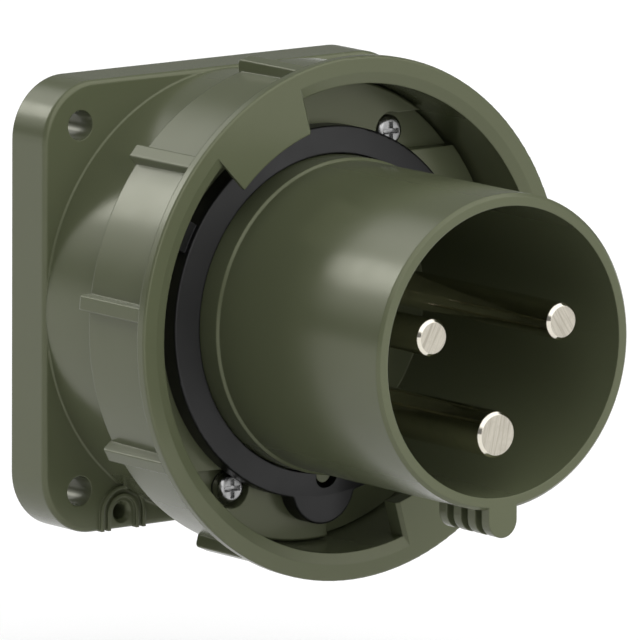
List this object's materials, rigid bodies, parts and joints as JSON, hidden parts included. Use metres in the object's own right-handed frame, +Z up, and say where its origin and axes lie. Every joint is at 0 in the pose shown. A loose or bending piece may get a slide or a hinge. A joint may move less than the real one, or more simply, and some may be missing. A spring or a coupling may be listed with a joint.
{
  "type": "panel-mount power inlet",
  "caption": "Square-flanged panel-mount power inlet with three contact pins inside a keyed sleeve and a turning bayonet ring with grip ribs.",
  "frame": {"origin": "centre of the flange's back face, on the panel plane", "axes": "-Y leaves the panel along the pins, +Z is up with the key below, +X is to the right seen from the front"},
  "size_m": [0.114, 0.1084, 0.114],
  "materials": {
    "olive_plastic": "satin",
    "grey_plastic": "matte",
    "black_rubber": "matte",
    "nickel_plate": "polished",
    "zinc_steel": "satin",
    "bright_steel": "polished",
    "brass_insert": "satin"
  },
  "bodies": {
    "housing": {"flange_housing": "olive_plastic", "plug_sleeve": "olive_plastic", "contact_carrier": "grey_plastic", "terminal_cover": "grey_plastic", "face_seal": "black_rubber", "panel_gasket": "black_rubber", "base_gasket": "black_rubber", "screw_sealing_washers": "black_rubber", "phase_pin_seals": "black_rubber", "earth_pin_seal": "black_rubber", "line_pin": "nickel_plate", "neutral_pin": "nickel_plate", "earth_pin": "nickel_plate", "line_clamp_screws": "zinc_steel", "neutral_clamp_screws": "zinc_steel", "earth_clamp_screws": "zinc_steel", "carrier_screws": "zinc_steel", "sleeve_screws": "bright_steel", "threaded_inserts": "brass_insert"},
    "ring": {"bayonet_ring": "olive_plastic"}
  },
  "joints": [
    {"name": "ring_turn", "type": "hinge", "parent": "housing", "child": "ring", "pos_m": [0, -0.04525, 0], "axis": [0, 1, 0], "range_deg": [0, 45]}
  ]
}
